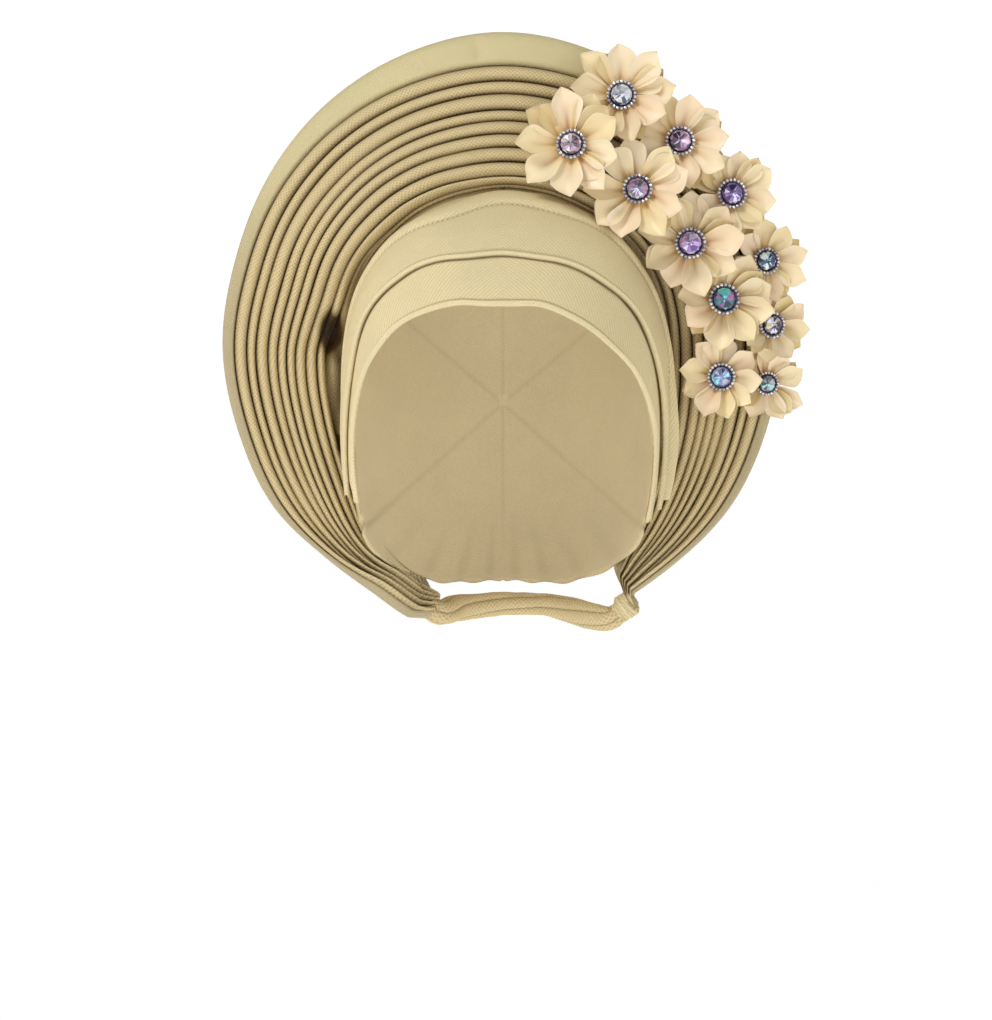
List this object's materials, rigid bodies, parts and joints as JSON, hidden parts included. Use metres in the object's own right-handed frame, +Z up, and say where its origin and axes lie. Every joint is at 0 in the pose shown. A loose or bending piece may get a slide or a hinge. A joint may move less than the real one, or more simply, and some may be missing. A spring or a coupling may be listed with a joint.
{
  "type": "gele head tie",
  "caption": "Tied gele head tie: a fitted cap with smooth brow and crown bands inside a broad pleated fan, a spray of ribbon flowers with jewelled centres, a side knot and a nape roll.",
  "frame": {"origin": "middle of the head hollow at eye level, where the tie sits on the head", "axes": "+Z up, the wearer faces -Y, +X to the wearer's left, where the flowers are"},
  "size_m": [0.2686, 0.1854, 0.2725],
  "materials": {
    "pleated_cloth": "matte gold-beige woven cloth",
    "band_cloth": "matte pale gold twill",
    "petal_satin": "satin ribbon, cream to peach",
    "setting_metal": "plated, set with small clear stones",
    "stone_01": "foil-backed cut glass, clear with a blue-grey glint",
    "stone_02": "foil-backed cut glass, pink-grey",
    "stone_03": "foil-backed cut glass, mauve with dark grey",
    "stone_04": "foil-backed cut glass, purple-pink with bright white",
    "stone_05": "foil-backed cut glass, violet with white glints",
    "stone_06": "foil-backed cut glass, lilac",
    "stone_07": "foil-backed cut glass, navy with white-green glints",
    "stone_08": "foil-backed cut glass, teal with purple",
    "stone_09": "foil-backed cut glass, grey with pale yellow and lilac",
    "stone_10": "foil-backed cut glass, blue-violet with aqua",
    "stone_11": "foil-backed cut glass, dark with aqua and pink"
  },
  "bodies": {
    "root": {"cap_crown": "pleated_cloth", "brow_band": "band_cloth", "crown_band": "band_cloth", "pleated_fan": "pleated_cloth", "nape_roll": "pleated_cloth", "side_knot": "band_cloth", "flower_01": "petal_satin", "flower_02": "petal_satin", "flower_03": "petal_satin", "flower_04": "petal_satin", "flower_05": "petal_satin", "flower_06": "petal_satin", "flower_07": "petal_satin", "flower_08": "petal_satin", "flower_09": "petal_satin", "flower_10": "petal_satin", "flower_11": "petal_satin", "setting_01": "setting_metal", "setting_02": "setting_metal", "setting_03": "setting_metal", "setting_04": "setting_metal", "setting_05": "setting_metal", "setting_06": "setting_metal", "setting_07": "setting_metal", "setting_08": "setting_metal", "setting_09": "setting_metal", "setting_10": "setting_metal", "setting_11": "setting_metal", "stone_01": "stone_01", "stone_02": "stone_02", "stone_03": "stone_03", "stone_04": "stone_04", "stone_05": "stone_05", "stone_06": "stone_06", "stone_07": "stone_07", "stone_08": "stone_08", "stone_09": "stone_09", "stone_10": "stone_10", "stone_11": "stone_11"}
  },
  "joints": []
}
